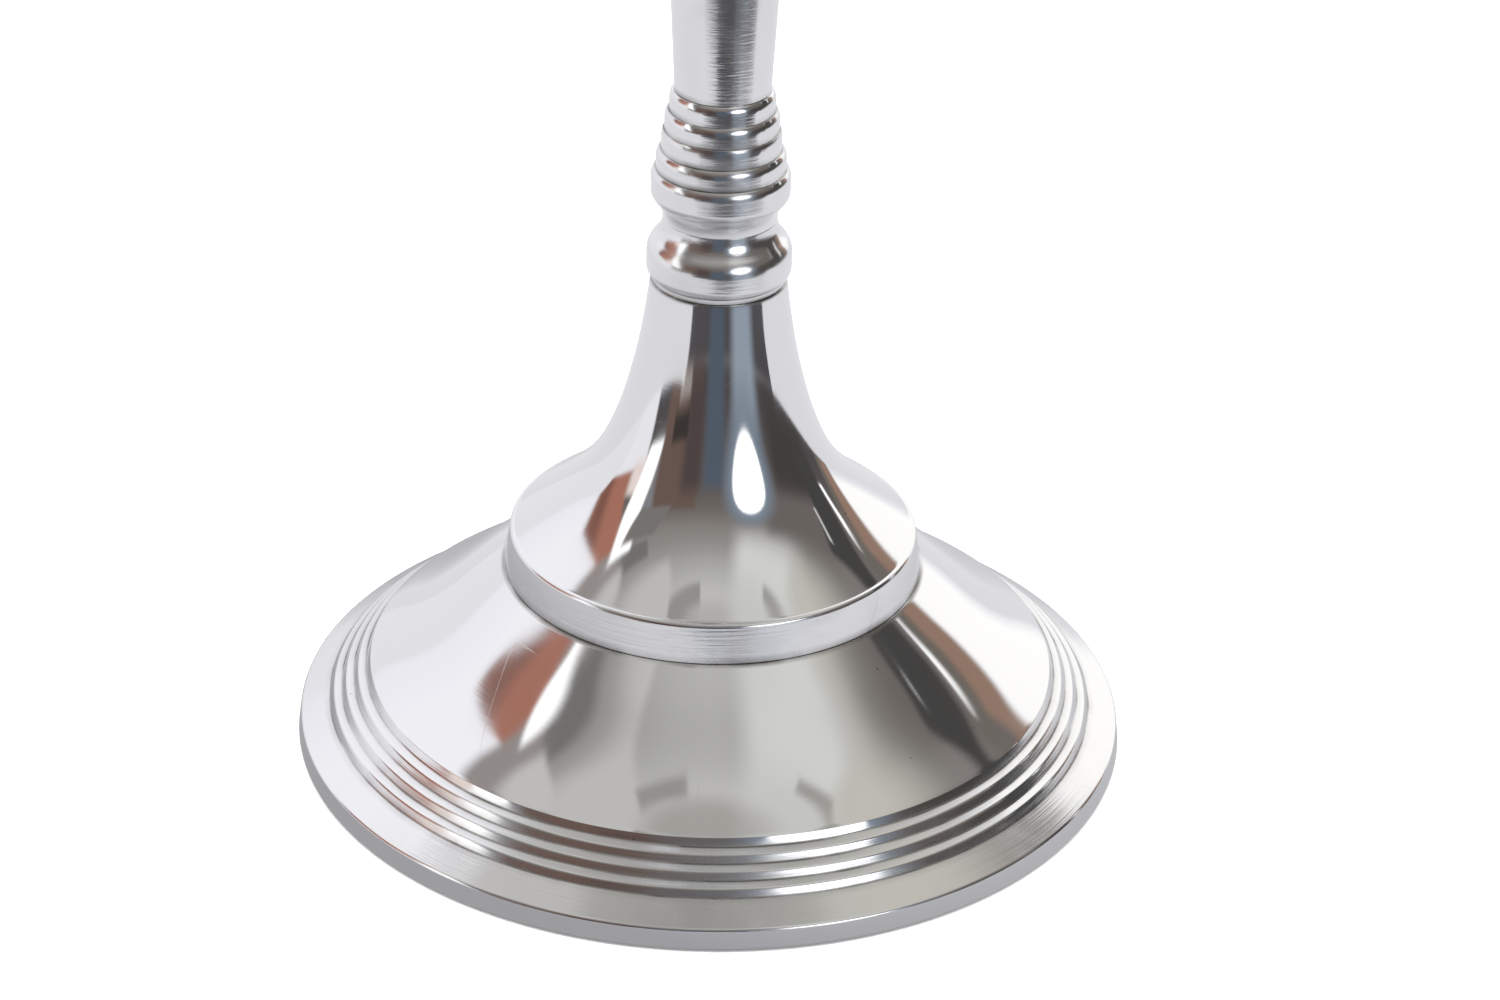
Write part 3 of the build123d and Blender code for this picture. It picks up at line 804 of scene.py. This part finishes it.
def cast_aluminium():
    """One tree for all castings: the attributes tool_marks and raw choose between the finishes, and a third
    darkens the joints and inner corners with painted shade and residue.
    """
    material, tree, shader = new_material("cast_aluminium_turned_and_buffed")
    place, distance, height, outward = round_coordinates(tree)
    marks = add(tree, "Attribute", attribute_name="tool_marks").outputs["Fac"]
    raw = add(tree, "Attribute", attribute_name="raw").outputs["Fac"]
    shade_and_dirt = add(tree, "Attribute", attribute_name="shade_and_residue").outputs["Fac"]

    fine = tool_marks(tree, distance, height, outward, LINE_WIDTH, 2.2, 3.0)
    broad = tool_marks(tree, distance, height, outward, BUFF_LINE_WIDTH, 2.5, 2.0)
    wave = add(tree, "TexNoise", {"Vector": place, "Scale": 1 / (POLISH_WAVE * MM), "Detail": 1.0})
    grain = add(tree, "TexNoise", {"Vector": place, "Scale": 1 / (SAND_GRAIN * MM), "Detail": 3.0})
    smudge = add(tree, "TexNoise", {"Vector": place, "Scale": 1 / (SMUDGE * MM), "Detail": 4.0,
                                    "Distortion": 0.6})

    # Each pit is a dark spot of painted shade for the hollow of a gas pit; it has no bump.
    cells = add(tree, "TexVoronoi", {"Vector": place, "Scale": 1 / (PIT_CELL * MM)})
    chance = add(tree, "SeparateColor", {0: cells.outputs["Color"]})
    size = add(tree, "MapRange", {"Value": chance, "From Min": 0.45, "From Max": 1.0, "To Min": 0.0,
                                  "To Max": PIT_SIZE / PIT_CELL})
    depth = add(tree, "Math", {0: size, 1: cells.outputs["Distance"]}, operation="SUBTRACT")
    pit_shade = add(tree, "MapRange", {"Value": depth, "From Min": 0.0, "From Max": 0.4 * PIT_SIZE / PIT_CELL,
                                 "To Min": 0.0, "To Max": 1.0})

    wiping = add(tree, "TexNoise", {"Vector": place, "Scale": 1 / (WIPE_SWEEP * MM), "Detail": 1.0,
                                    "Distortion": 0.2})
    off_line = add(tree, "Math", {0: wiping, 1: 0.5}, operation="SUBTRACT")
    off_line = add(tree, "Math", {0: off_line}, operation="ABSOLUTE")
    line = add(tree, "MapRange", {"Value": off_line, "From Min": SCRATCH_WIDTH / WIPE_SWEEP, "From Max": 0.0})
    broken = add(tree, "MapRange", {"Value": smudge, "From Min": 0.52, "From Max": 0.6})
    scratch = add(tree, "Math", {0: line, 1: broken}, operation="MULTIPLY")

    # Painted shade, with some polishing residue, darkens the joints and inner corners; how dark it is varies
    # with the smudge noise.
    shade_and_stain_share = add(tree, "MapRange", {"Value": smudge, "From Min": 0.38, "From Max": 0.62,
                                     "To Min": 0.25, "To Max": 0.9})
    shade_and_stain = add(tree, "Math", {0: shade_and_dirt, 1: shade_and_stain_share}, operation="MULTIPLY")
    clean = add(tree, "Mix", {"Factor": raw, "A": linear("E9E9EA"), "B": linear("B4B4B3")}, data_type="RGBA")
    dark = add(tree, "Mix", {"Factor": shade_and_stain, "A": clean.outputs[2], "B": linear("5E5A53")}, data_type="RGBA")
    # Painted shade darkens each pit.
    colour = add(tree, "Mix", {"Factor": pit_shade, "A": dark.outputs[2], "B": linear("2E2C2A")}, data_type="RGBA")

    polish = add(tree, "MapRange", {"Value": smudge, "From Min": 0.3, "From Max": 0.7,
                                    "To Min": POLISHED_ROUGHNESS[0], "To Max": POLISHED_ROUGHNESS[1]})
    satin = add(tree, "MapRange", {"Value": smudge, "From Min": 0.35, "From Max": 0.65,
                                   "To Min": SATIN_ROUGHNESS[0], "To Max": SATIN_ROUGHNESS[1]})
    lined = add(tree, "Mix", {0: marks, 2: polish, 3: satin})
    rough = add(tree, "Mix", {0: raw, 2: lined, 3: SKIN_ROUGHNESS})
    rough = add(tree, "Math", {0: shade_and_stain, 1: DIRT_ROUGHNESS, 2: rough}, operation="MULTIPLY_ADD")
    rough = add(tree, "Math", {0: scratch, 1: SCRATCH_ROUGHNESS, 2: rough}, operation="MULTIPLY_ADD")

    line_depth = add(tree, "Mix", {0: marks, 2: 0.05, 3: 0.9})
    swell = add(tree, "Bump", {"Height": wave, "Strength": 1.0, "Distance": WAVE_DEPTH * MM})
    buff = add(tree, "Bump", {"Height": broad, "Strength": 0.35, "Distance": BUFF_DEPTH * MM,
                              "Normal": swell})
    lines = add(tree, "Bump", {"Height": fine, "Strength": line_depth, "Distance": LINE_DEPTH * MM,
                               "Normal": buff})
    skin = add(tree, "Bump", {"Height": grain, "Strength": raw, "Distance": SKIN_DEPTH * MM, "Normal": lines})
    radial = add(tree, "Tangent", direction_type="RADIAL", axis="Z")
    wired(tree, shader, {"Base Color": colour.outputs[2], "Roughness": rough, "Normal": skin, "Metallic": 1.0,
                         "Anisotropic": 0.55, "Anisotropic Rotation": 0.25, "Tangent": radial})
    return material


aluminium = cast_aluminium()
for name in ("foot_dish", "foot_bell", "lower_collar", "lower_knop", "stem_shaft", "head_knop", "head_collar",
             "pan_seat", "candle_socket"):
    dress(name, aluminium)

# %% [markdown]
# ## Spun aluminium
#
# The pan and the nozzle are sheet, pressed over a form by a round-nosed tool while it spins. The tool leaves
# shallow grooves about 1.5 mm apart, wider and softer than the lines of a cutting tool, and the sheet is
# brighter and cleaner than a casting, with no pits.

# %% Spun aluminium
SPIN_WIDTH = 1.5        # mm between the spinning tool's grooves
SHEET_SMUDGE = 22.2     # mm


def spun_aluminium():
    """Wide soft grooves with fine lines in them, on a bright clean metal."""
    material, tree, shader = new_material("spun_aluminium_sheet")
    place, distance, height, outward = round_coordinates(tree)
    groove = tool_marks(tree, distance, height, outward, SPIN_WIDTH, 0.5, 1.0)
    fine = tool_marks(tree, distance, height, outward, LINE_WIDTH / 2, 1.5, 3.0)
    smudge = add(tree, "TexNoise", {"Vector": place, "Scale": 1 / (SHEET_SMUDGE * MM), "Detail": 3.0})
    tint = add(tree, "Mix", {"Factor": smudge, "A": linear("EEEEEF"), "B": linear("E2E2E3")},
               data_type="RGBA")
    rough = add(tree, "MapRange", {"Value": smudge, "From Min": 0.3, "From Max": 0.7,
                                   "To Min": 0.1, "To Max": 0.17})
    soft = add(tree, "Bump", {"Height": groove, "Strength": 0.7, "Distance": 0.03 * MM})
    sharp = add(tree, "Bump", {"Height": fine, "Strength": 0.3, "Distance": 0.01 * MM, "Normal": soft})
    wired(tree, shader, {"Base Color": tint.outputs[2], "Roughness": rough, "Normal": sharp, "Metallic": 1.0})
    return material


spun = spun_aluminium()
for name in ("drip_pan", "candle_nozzle"):
    dress(name, spun)

# %% [markdown]
# ## Bright zinc plate
#
# The rod, nuts, washers and clamp plate are plain steel with bright zinc on it. Zinc is a cooler and darker
# grey than aluminium. Its passivation leaves a thin film that shifts it to yellow in one place and to blue
# in the next, and the barrel it was plated in leaves small dull knocks all over.

# %% Zinc-plated steel
FILM_PATCH = 12.0       # mm across a patch of the film's colour
BARREL_KNOCK = 0.9      # mm


def zinc_plate():
    """A blue-grey and a straw-grey mixed by a slow noise, with the knocks as bump and roughness."""
    material, tree, shader = new_material("bright_zinc_plated_steel")
    place = add(tree, "TexCoord").outputs["Object"]
    film = add(tree, "TexNoise", {"Vector": place, "Scale": 1 / (FILM_PATCH * MM), "Detail": 2.0})
    knocks = add(tree, "TexNoise", {"Vector": place, "Scale": 1 / (BARREL_KNOCK * MM), "Detail": 3.0})
    colour = add(tree, "ValToRGB", {0: film})
    colour.color_ramp.elements[0].position = 0.35
    colour.color_ramp.elements[0].color = linear("AEB4BD")
    colour.color_ramp.elements[1].position = 0.65
    colour.color_ramp.elements[1].color = linear("C3BFAF")
    rough = add(tree, "MapRange", {"Value": knocks, "From Min": 0.3, "From Max": 0.7,
                                   "To Min": 0.2, "To Max": 0.36})
    bump = add(tree, "Bump", {"Height": knocks, "Strength": 0.6, "Distance": 0.03 * MM})
    wired(tree, shader, {"Base Color": colour, "Roughness": rough, "Normal": bump, "Metallic": 1.0})
    return material


zinc = zinc_plate()
for name in ("tie_rod", "clamp_plate", "wide_washer", "spring_washer", "foot_nut", "top_washer", "top_nut"):
    dress(name, zinc)

# %% [markdown]
# ## Pressed wool felt
#
# Felt is a mat of crossed fibres with no weave. Seen close, it is a haze of short curly threads in slightly
# different shades. Two noises do it: a stretched and bent one for the fibres and a slow one for the patches
# where the wool was dyed unevenly. The sheen is the light caught by the fuzz at the edge.

# %% Wool felt
FIBRE = 0.25            # mm; wool fibres are 0.03, too fine to show, so these are tufts of them
DYE_PATCH = 16.7        # mm


def wool_felt():
    """Deep green, with fibre tufts as colour and bump."""
    material, tree, shader = new_material("pressed_wool_felt")
    place = add(tree, "TexCoord").outputs["Object"]
    fibres = add(tree, "TexNoise", {"Vector": place, "Scale": 1 / (FIBRE * MM), "Detail": 4.0,
                                    "Distortion": 2.5})
    patches = add(tree, "TexNoise", {"Vector": place, "Scale": 1 / (DYE_PATCH * MM), "Detail": 2.0})
    mix = add(tree, "Mix", {0: 0.7, 2: patches, 3: fibres})
    colour = add(tree, "ValToRGB", {0: mix})
    colour.color_ramp.elements[0].position = 0.3
    colour.color_ramp.elements[0].color = linear("16301F")
    colour.color_ramp.elements[1].position = 0.7
    colour.color_ramp.elements[1].color = linear("3A5C44")
    bump = add(tree, "Bump", {"Height": fibres, "Strength": 0.8, "Distance": 0.15 * MM})
    wired(tree, shader, {"Base Color": colour, "Normal": bump, "Roughness": 0.95, "Sheen Weight": 0.4})
    return material


dress("felt_ring", wool_felt())
print("materials:", ", ".join(sorted(m.name for m in bpy.data.materials)))

# %% [markdown]
# ## The floor
#
# A wide sheet of white paper. A mirror shows whatever stands round it, and a white floor that reached to the
# horizon would turn the whole lower half of the stick white. In a studio the paper ends at the edge of the
# table, and the dark room shows below it. So the metal doesn't see this floor. It sees the table and the
# room as the surroundings below paint them, while the floor itself still catches light and shadow.

# %% Paper floor
FLOOR_SIZE = 6.0        # m
PAPER_TOOTH = 0.6       # mm


def paper_floor():
    """One square at the height that the felt stands on."""
    half = FLOOR_SIZE / 2
    corners = np.array([(-half, -half, 0), (half, -half, 0), (half, half, 0), (-half, half, 0)])
    mesh = mesh_of("paper_floor", corners, np.array([[0, 1, 2, 3]]))
    floor = in_scene("paper_floor", mesh)
    material, tree, shader = new_material("white_background_paper")
    place = add(tree, "TexCoord").outputs["Object"]
    tooth = add(tree, "TexNoise", {"Vector": place, "Scale": 1 / (PAPER_TOOTH * MM)})
    shade = add(tree, "Mix", {"Factor": tooth, "A": linear("F7F7F6"), "B": linear("F2F2F1")},
                data_type="RGBA")
    wired(tree, shader, {"Base Color": shade.outputs[2], "Roughness": 0.9, "Specular IOR Level": 0.2})
    mesh.materials.append(material)
    floor.visible_glossy = False
    return floor


paper_floor()

# %% [markdown]
# ## The surroundings that the metal shows
#
# Polished metal has almost no look of its own: the picture is in its surroundings. They are painted on the
# world by direction, as cards and lamps are set out in a studio. A bearing of 0 is towards the camera,
# positive bearings go round to the right, and an elevation is above the horizon. The camera itself sees only
# white. Lamps and cards made as objects would also work, but each would need hiding from the other views.

# %% World: directions and soft-edged cards
WHITE = (1.0, 1.0, 1.0, 1.0)
FLOOR_LIGHT = (1.12, 1.12, 1.12, 1.0)   # just enough for white paper to come out white
METAL_SHINE = 0.81      # share of the light that the metal gives back, as linear("E9E9EA")


def seen(hex_colour, strength=1.0):
    """The light that this metal shows as the given colour."""
    return tuple(v * strength / METAL_SHINE for v in linear(hex_colour)[:3]) + (1.0,)


def surroundings():
    """Starts from the sweep of paper, opens the room in front of it, and lays each card over the last."""
    world = bpy.data.worlds.new("studio_surroundings")
    bpy.context.scene.world = world
    world.use_nodes = True
    tree = world.node_tree
    tree.nodes.clear()
    way = add(tree, "TexCoord").outputs["Generated"]
    xyz = add(tree, "SeparateXYZ", {0: way})
    toward = add(tree, "Math", {0: xyz.outputs["Y"], 1: -1.0}, operation="MULTIPLY")
    turn_angle = add(tree, "Math", {0: xyz.outputs["X"], 1: toward}, operation="ARCTAN2")
    bearing = add(tree, "Math", {0: turn_angle, 1: 180 / pi}, operation="MULTIPLY")
    rise = add(tree, "Math", {0: xyz.outputs["Z"]}, operation="ARCSINE")
    elevation = add(tree, "Math", {0: rise, 1: 180 / pi}, operation="MULTIPLY")
    height = add(tree, "MapRange", {"Value": elevation, "From Min": -90.0, "From Max": 90.0})

    def bands(colours):
        ramp = add(tree, "ValToRGB", {0: height})
        while len(ramp.color_ramp.elements) > 1:
            ramp.color_ramp.elements.remove(ramp.color_ramp.elements[-1])
        for k, (angle, colour) in enumerate(colours):
            spot = ramp.color_ramp.elements[0] if k == 0 else ramp.color_ramp.elements.new((angle + 90) / 180)
            spot.position = (angle + 90) / 180
            spot.color = seen(colour)
        return ramp

    def edge(value, start, soft):
        return add(tree, "MapRange", {"Value": value, "From Min": start - soft, "From Max": start + soft},
                   interpolation_type="SMOOTHSTEP")

    def card(under, left, right, low, high, soft, colour, lean=0.0, share=1.0):
        across = add(tree, "Math", {0: elevation, 1: -lean, 2: bearing}, operation="MULTIPLY_ADD")
        sides = [edge(across, left, soft), edge(across, right, soft), edge(elevation, low, soft),
                 edge(elevation, high, soft)]
        wide = add(tree, "Math", {0: sides[0], 1: sides[1]}, operation="SUBTRACT")
        tall = add(tree, "Math", {0: sides[2], 1: sides[3]}, operation="SUBTRACT")
        cover = add(tree, "Math", {0: wide, 1: tall}, operation="MULTIPLY")
        cover = add(tree, "Math", {0: cover, 1: share}, operation="MULTIPLY")
        return add(tree, "Mix", {"Factor": cover, "A": under, "B": colour}, data_type="RGBA").outputs[2]

    def round_lamp(under, at_bearing, at_elevation, size, soft, colour):
        a, e = radians(at_bearing), radians(at_elevation)
        centre = (sin(a) * cos(e), -cos(a) * cos(e), sin(e))
        near = add(tree, "VectorMath", {0: way, 1: centre}, operation="DOT_PRODUCT").outputs["Value"]
        apart = add(tree, "Math", {0: near}, operation="ARCCOSINE")
        apart = add(tree, "Math", {0: apart, 1: 180 / pi}, operation="MULTIPLY")
        cover = add(tree, "MapRange", {"Value": apart, "From Min": size + soft, "From Max": size - soft},
                    interpolation_type="SMOOTHSTEP")
        return add(tree, "Mix", {"Factor": cover, "A": under, "B": colour}, data_type="RGBA").outputs[2]

    light = card(bands(SWEEP), *ROOM_OPENING, bands(ROOM))
    for values in CARDS:
        light = card(light, *values)
    for values in LAMPS:
        light = round_lamp(light, *values)
    path = add(tree, "LightPath")
    dull = add(tree, "Mix", {"Factor": path.outputs["Is Diffuse Ray"], "A": light, "B": FLOOR_LIGHT},
               data_type="RGBA").outputs[2]
    shown = add(tree, "Mix", {"Factor": path.outputs["Is Camera Ray"], "A": dull, "B": WHITE},
                data_type="RGBA").outputs[2]
    background = add(tree, "Background", {"Color": shown, "Strength": 1.0})
    add(tree, "OutputWorld", {"Surface": background})
    return world


# %% [markdown]
# Two sets of bands hold what is the same all round: the white sweep of paper, and the room that opens in it,
# with its dark floor and its ceiling that grows lighter overhead. The cards are then laid over them: the lit
# ceiling, the furniture, a brown door and a bright window on the left, a black panel and narrow strips of
# light on the right. Two of them are white and cut the door's corners, where the paper hangs in front of it.
# What each card stands for is a guess. Only its direction, size and colour matter to the metal.

# %% World: what stands where
SWEEP = [(-90, "A8A8AA"), (-45, "BCBCBE"), (-25, "D0D0D3"), (-8, "DADADE"), (8, "E4E4E9"), (35, "F0F0F4"),
         (50, "DCDCDE"), (60, "B8B7B6"), (74, "A09E9A"), (90, "8E8C88")]
ROOM = [(-90, "4E4C4F"), (-4, "4B4749"), (6, "55504F"), (14, "5C5654"), (24, "645D5A"), (32, "6C6662"),
        (38, "79736F"), (44, "827E7A"), (52, "8A8783"), (58, "969491"), (64, "A5A4A0"), (72, "BBBAB6"),
        (76, "9E9C97"), (79, "A09F9A"), (84, "94928D"), (90, "8E8C88")]
ROOM_OPENING = (-113, 131, -8, 200, 2.0)
# left, right, low, high, softness in degrees, colour; then the lean of its sides and its share of cover
CARDS = [
    (-113, -42, -100, -7, 2.0, seen("D3D3D6")),             # paper on the table, left
    (92, 131, -100, -8, 2.0, seen("D6D6D8")),               # paper on the table, right
    (-42, 92, -100, -7, 2.0, seen("4C4A4D")),               # the dark beyond the table's near edge
    (131, 173, 0, 48, 3.0, seen("FCFBF9")),                 # brightest part of the sweep
    (24, 80, 48, 71, 11.0, seen("CDCDCA")),                 # ceiling lit by the lamp
    (76, 134, 52, 72, 8.0, seen("BDBAB1")),
    (-86, -45, 60, 73, 3.5, seen("BAB8B5")),                # ceiling lit by the window
    (-48, -14, 69, 73, 1.2, seen("8F8E8B")),                # soft shades on the ceiling
    (55, 75, 64.5, 67.5, 1.2, seen("9A9893")),
    (-85, -64, 48, 55, 1.5, seen("706D6C")),                # a dark shade on the ceiling
    (-70, -57, 2, 44, 4.0, seen("7C7C80")),                 # wall beside the window
    (-60, -18, -7, 31, 3.0, seen("66544D")),                # brown furniture
    (-34, -14, -7, 22, 6.0, seen("4C4241")),
    (-50, -32, -1, 5, 1.5, seen("393432")),
    (-47, -33, -7, -3, 1.2, seen("9A928C")),
    (-11, 10, -15, 21, 5.0, seen("4F5965")),                # a blue-grey curtain behind the camera
    (52, 108, 20, 44, 7.0, seen("67625E")),                 # grey wall on the right
    (62, 108, -7, 17, 7.0, seen("423E3C")),                 # dark furniture on the right
    (92, 108, 0, 40, 1.5, seen("424140"), 0.3),             # black panel
    (107.4, 110.0, 8, 31, 0.7, seen("FFFFFF", 1.2), 0.41),  # thin strips of light
    (84.0, 85.6, 23, 36, 0.7, seen("C8C8C6"), 0.58),
    (120, 124, -4, 34, 1.5, seen("6A645E")),                # tan edge of the sweep
    (124, 131, -4, 29, 1.5, seen("8E7566")),
    (-113, -88, 7, 60, 1.3, seen("A06D5D")),                # brown door
    (-113, -104, 7, 60, 4.0, seen("7C5549")),               # its shaded side
    (-112, -76, -9, 8, 1.5, seen("E4E4E7")),                # white wall under the door
    (-400, -100, -30, 15, 1.3, seen("DEDEE2"), -0.9),       # the sweep's corners in front of the door
    (-400, -143.4, 28, 60, 1.0, seen("EEEEF2"), 0.95),
    (-113, -87, 46, 60, 1.6, seen("8F8986")),               # ceiling over the door
    (-113, -84, 53, 73, 1.8, seen("BDBBB9")),
    (-88, -72, 6, 20, 3.0, seen("E0D2CB")),                 # warm light on the window's frame
    (-72.5, -58, 3, 49, 1.4, seen("FFFFFF", 1.15), -0.42),  # window
    (-40, -12, 29, 46, 1.6, seen("74716E"), -1.0),          # slanting wall that cuts the window's corner
    (22, 52, -24, 2, 7.0, seen("97A3B0"), 0.0, 0.8),        # the lamp's gleam on the table
]
LAMPS = [(35, 18, 22.0, 7.0, seen("76828F")),               # bearing, elevation, half width, softness, colour
         (35, 18, 15.2, 1.4, seen("FFFFFF", 1.6))]

surroundings()

# %% [markdown]
# The world is infinitely far away, and the table isn't. The rim and the band, which stand low, see only paper,
# while the bell, which stands high, looks over the paper's near edge into the dark. So the paper that the
# metal sees is a real sheet with a real front edge, and it shows in nothing but the metal.

# %% Paper that only the metal sees
SHEET_CORNERS = ((-0.9, -0.95), (-0.33, -0.41), (-0.12, -0.38), (0.0, -0.31), (0.24, -0.28), (0.42, -0.14),
                 (0.9, -0.19), (0.9, 0.9), (-0.9, 0.9))    # m, from the near left corner round to the right
SHEET_LIFT = 0.0002     # m, just above the floor
SHADE_REACH = (0.11, 0.26)    # m from the middle of the shade to where it begins and ends to fade
SHADE_CENTRE = (-0.05, -0.02, 0.0)


def table_paper():
    """A flat sheet that glows like lit paper: dim close to the foot, which shades it, and brighter out."""
    mesh = bpy.data.meshes.new("table_paper")
    mesh.from_pydata([(x, y, SHEET_LIFT) for x, y in SHEET_CORNERS], [], [range(len(SHEET_CORNERS))])
    sheet = in_scene("table_paper", mesh)
    material, tree, shader = new_material("lit_white_paper")
    place = add(tree, "TexCoord").outputs["Object"]
    away = add(tree, "VectorMath", {0: place, 1: SHADE_CENTRE}, operation="DISTANCE").outputs["Value"]
    share = add(tree, "MapRange", {"Value": away, "From Min": SHADE_REACH[0], "From Max": SHADE_REACH[1]})
    glow = add(tree, "Mix", {"Factor": share, "A": seen("9C9C9F"), "B": seen("D6D6D9")}, data_type="RGBA")
    wired(tree, shader, {"Emission Color": glow.outputs[2], "Emission Strength": 1.0,
                         "Base Color": (0.0, 0.0, 0.0, 1.0), "Specular IOR Level": 0.0})
    mesh.materials.append(material)
    sheet.visible_camera = sheet.visible_diffuse = sheet.visible_shadow = False
    return sheet


table_paper()

# %% [markdown]
# One wide lamp above lights the floor and anything dull. The metal doesn't show it, because its surroundings
# are painted already.

# %% Overhead lamp
LAMP_HEIGHT = 2.2       # m
LAMP_SIZE = 2.6         # m
LAMP_POWER = 80.0       # W


def overhead_lamp():
    """A square soft lamp over the stick."""
    data = bpy.data.lights.new("overhead_softbox", "AREA")
    data.shape = "SQUARE"
    data.size = LAMP_SIZE
    data.energy = LAMP_POWER
    lamp = in_scene("overhead_softbox", data)
    lamp.location = (0, 0, LAMP_HEIGHT)
    lamp.visible_glossy = False
    lamp.visible_camera = False
    return lamp


overhead_lamp()

# %% [markdown]
# ## The camera
#
# A 100 mm lens on a full frame, a metre in front of the foot and above it, tilted down at the foot. Only the
# foot and the start of the shaft are in its view.

# %% Camera
LENS = 100.0            # mm
CAMERA_PLACE = (0.0, -1.0014, 0.6187)
TURN_RIGHT = radians(0.568)
TILT_DOWN = radians(28.70)
ROLL = radians(1.546)


def camera():
    """Its axes are forward (sin y cos p, cos y cos p, -sin p), level right (cos y, -sin y, 0), both rolled."""
    data = bpy.data.cameras.new("camera")
    data.lens = LENS
    data.clip_end = 50
    eye = in_scene("camera", data)
    forward = np.array([sin(TURN_RIGHT) * cos(TILT_DOWN), cos(TURN_RIGHT) * cos(TILT_DOWN), -sin(TILT_DOWN)])
    level = np.array([cos(TURN_RIGHT), -sin(TURN_RIGHT), 0])
    up = np.cross(level, forward)
    right = cos(ROLL) * level + sin(ROLL) * up
    above = -sin(ROLL) * level + cos(ROLL) * up
    turned = np.eye(4)
    turned[:3, :3] = np.stack([right, above, -forward], 1)
    eye.matrix_world = Matrix.Translation(CAMERA_PLACE) @ Matrix(turned.tolist())
    bpy.context.scene.camera = eye
    return eye


camera()
bpy.context.scene.view_settings.view_transform = "Standard"
